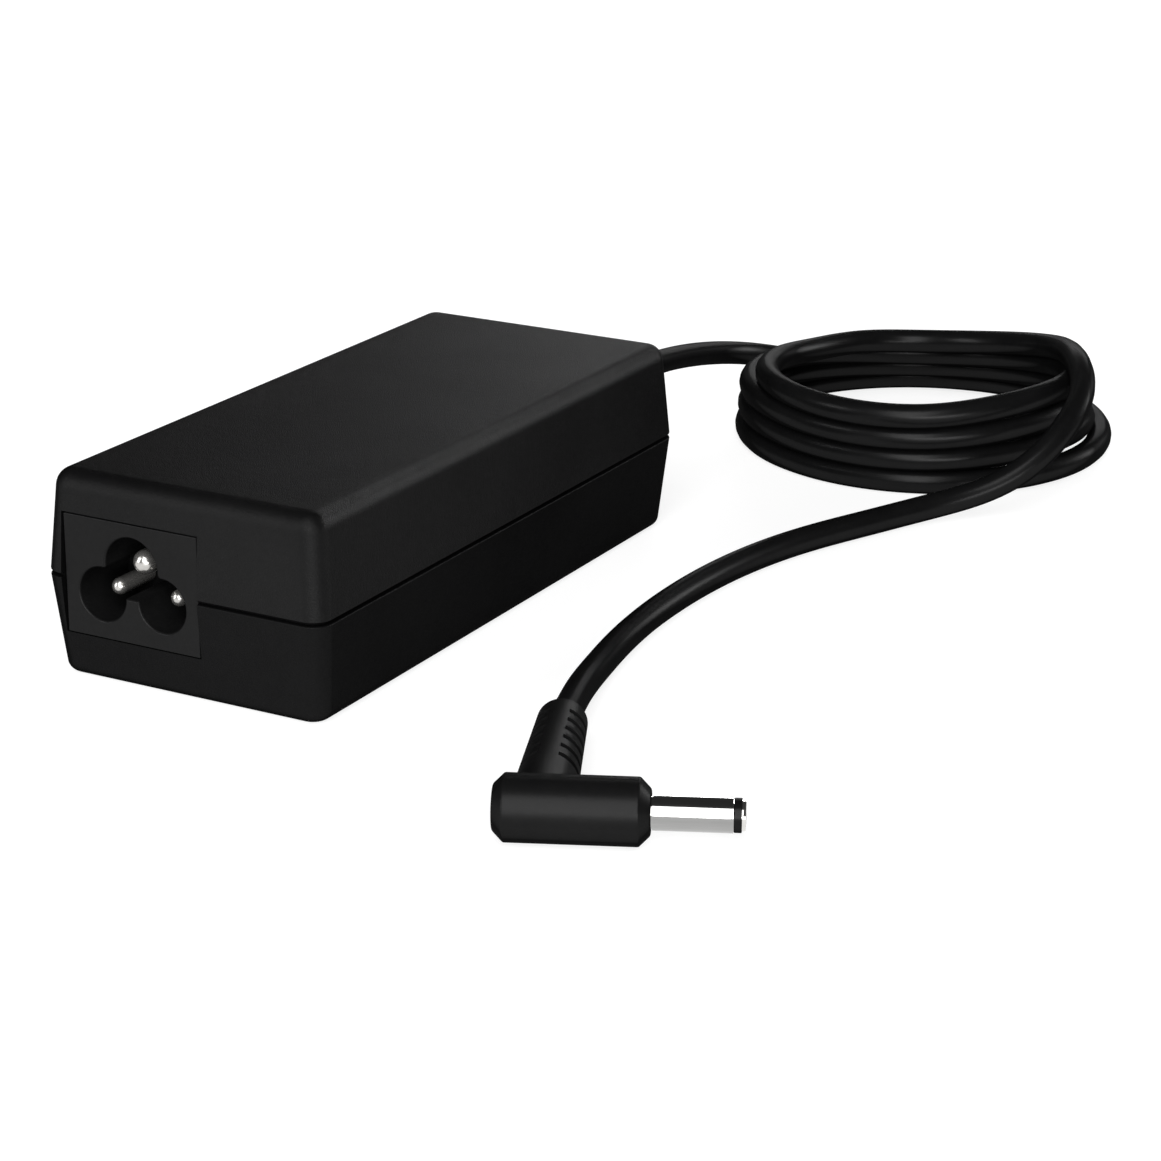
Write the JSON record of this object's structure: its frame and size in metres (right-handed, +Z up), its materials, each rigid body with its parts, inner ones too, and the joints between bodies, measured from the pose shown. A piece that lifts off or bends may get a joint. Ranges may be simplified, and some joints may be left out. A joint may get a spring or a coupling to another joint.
{
  "type": "laptop power adapter",
  "caption": "Black laptop power adapter brick with a C6 mains inlet, a coiled DC cord and a right-angled barrel plug.",
  "frame": {"origin": "centre of the case's footprint, on the surface that the adapter lies on", "axes": "+Z up; +Y along the case from the mains inlet to the DC cord; +X to the right of someone who faces +Y, towards the side that the coiled cord lies on"},
  "size_m": [0.1123, 0.225, 0.03],
  "materials": {
    "case_plastic": "fine moulded texture",
    "inlet_plastic": "smooth moulded",
    "nickel_contact": "polished nickel plate",
    "circuit_board": "solder mask",
    "insulation_film": "thin film",
    "sheet_aluminium": "bare sheet",
    "fuse_glass": "clear glass with metal caps",
    "film_capacitor": "moulded box",
    "copper_winding": "enamelled copper wire",
    "moulded_epoxy": "moulded epoxy",
    "capacitor_sleeve": "shrunk sleeve",
    "ferrite": "ground ferrite",
    "winding_tape": "polyester tape",
    "ceramic_disc": "dipped resin",
    "lead_insulation": "wire insulation",
    "moulded_rubber": "satin",
    "cord_jacket": "satin sheath",
    "plug_plastic": "satin moulded"
  },
  "bodies": {
    "root": {"top_shell": "case_plastic", "bottom_shell": "case_plastic", "inlet_block": "inlet_plastic", "line_pin": "nickel_contact", "neutral_pin": "nickel_contact", "earth_pin": "nickel_contact", "circuit_board": "circuit_board", "insulation_sheet": "insulation_film", "heat_spreader": "sheet_aluminium", "fuse": "fuse_glass", "x_capacitor": "film_capacitor", "common_mode_choke": "copper_winding", "bridge_rectifier": "moulded_epoxy", "bulk_capacitor": "capacitor_sleeve", "primary_heatsink": "sheet_aluminium", "primary_transistor": "moulded_epoxy", "transformer_core": "ferrite", "transformer_winding": "winding_tape", "y_capacitor": "ceramic_disc", "optocoupler": "moulded_epoxy", "secondary_heatsink": "sheet_aluminium", "output_rectifier": "moulded_epoxy", "output_capacitors": "capacitor_sleeve", "output_leads": "lead_insulation", "cord_strain_relief": "moulded_rubber", "cord_lead": "cord_jacket", "cord_coil": "cord_jacket", "cord_tail": "cord_jacket", "plug_boot": "moulded_rubber", "plug_body": "plug_plastic", "plug_barrel": "nickel_contact", "plug_insulator": "inlet_plastic", "plug_contact": "nickel_contact", "plug_centre_pin": "nickel_contact"}
  },
  "joints": []
}
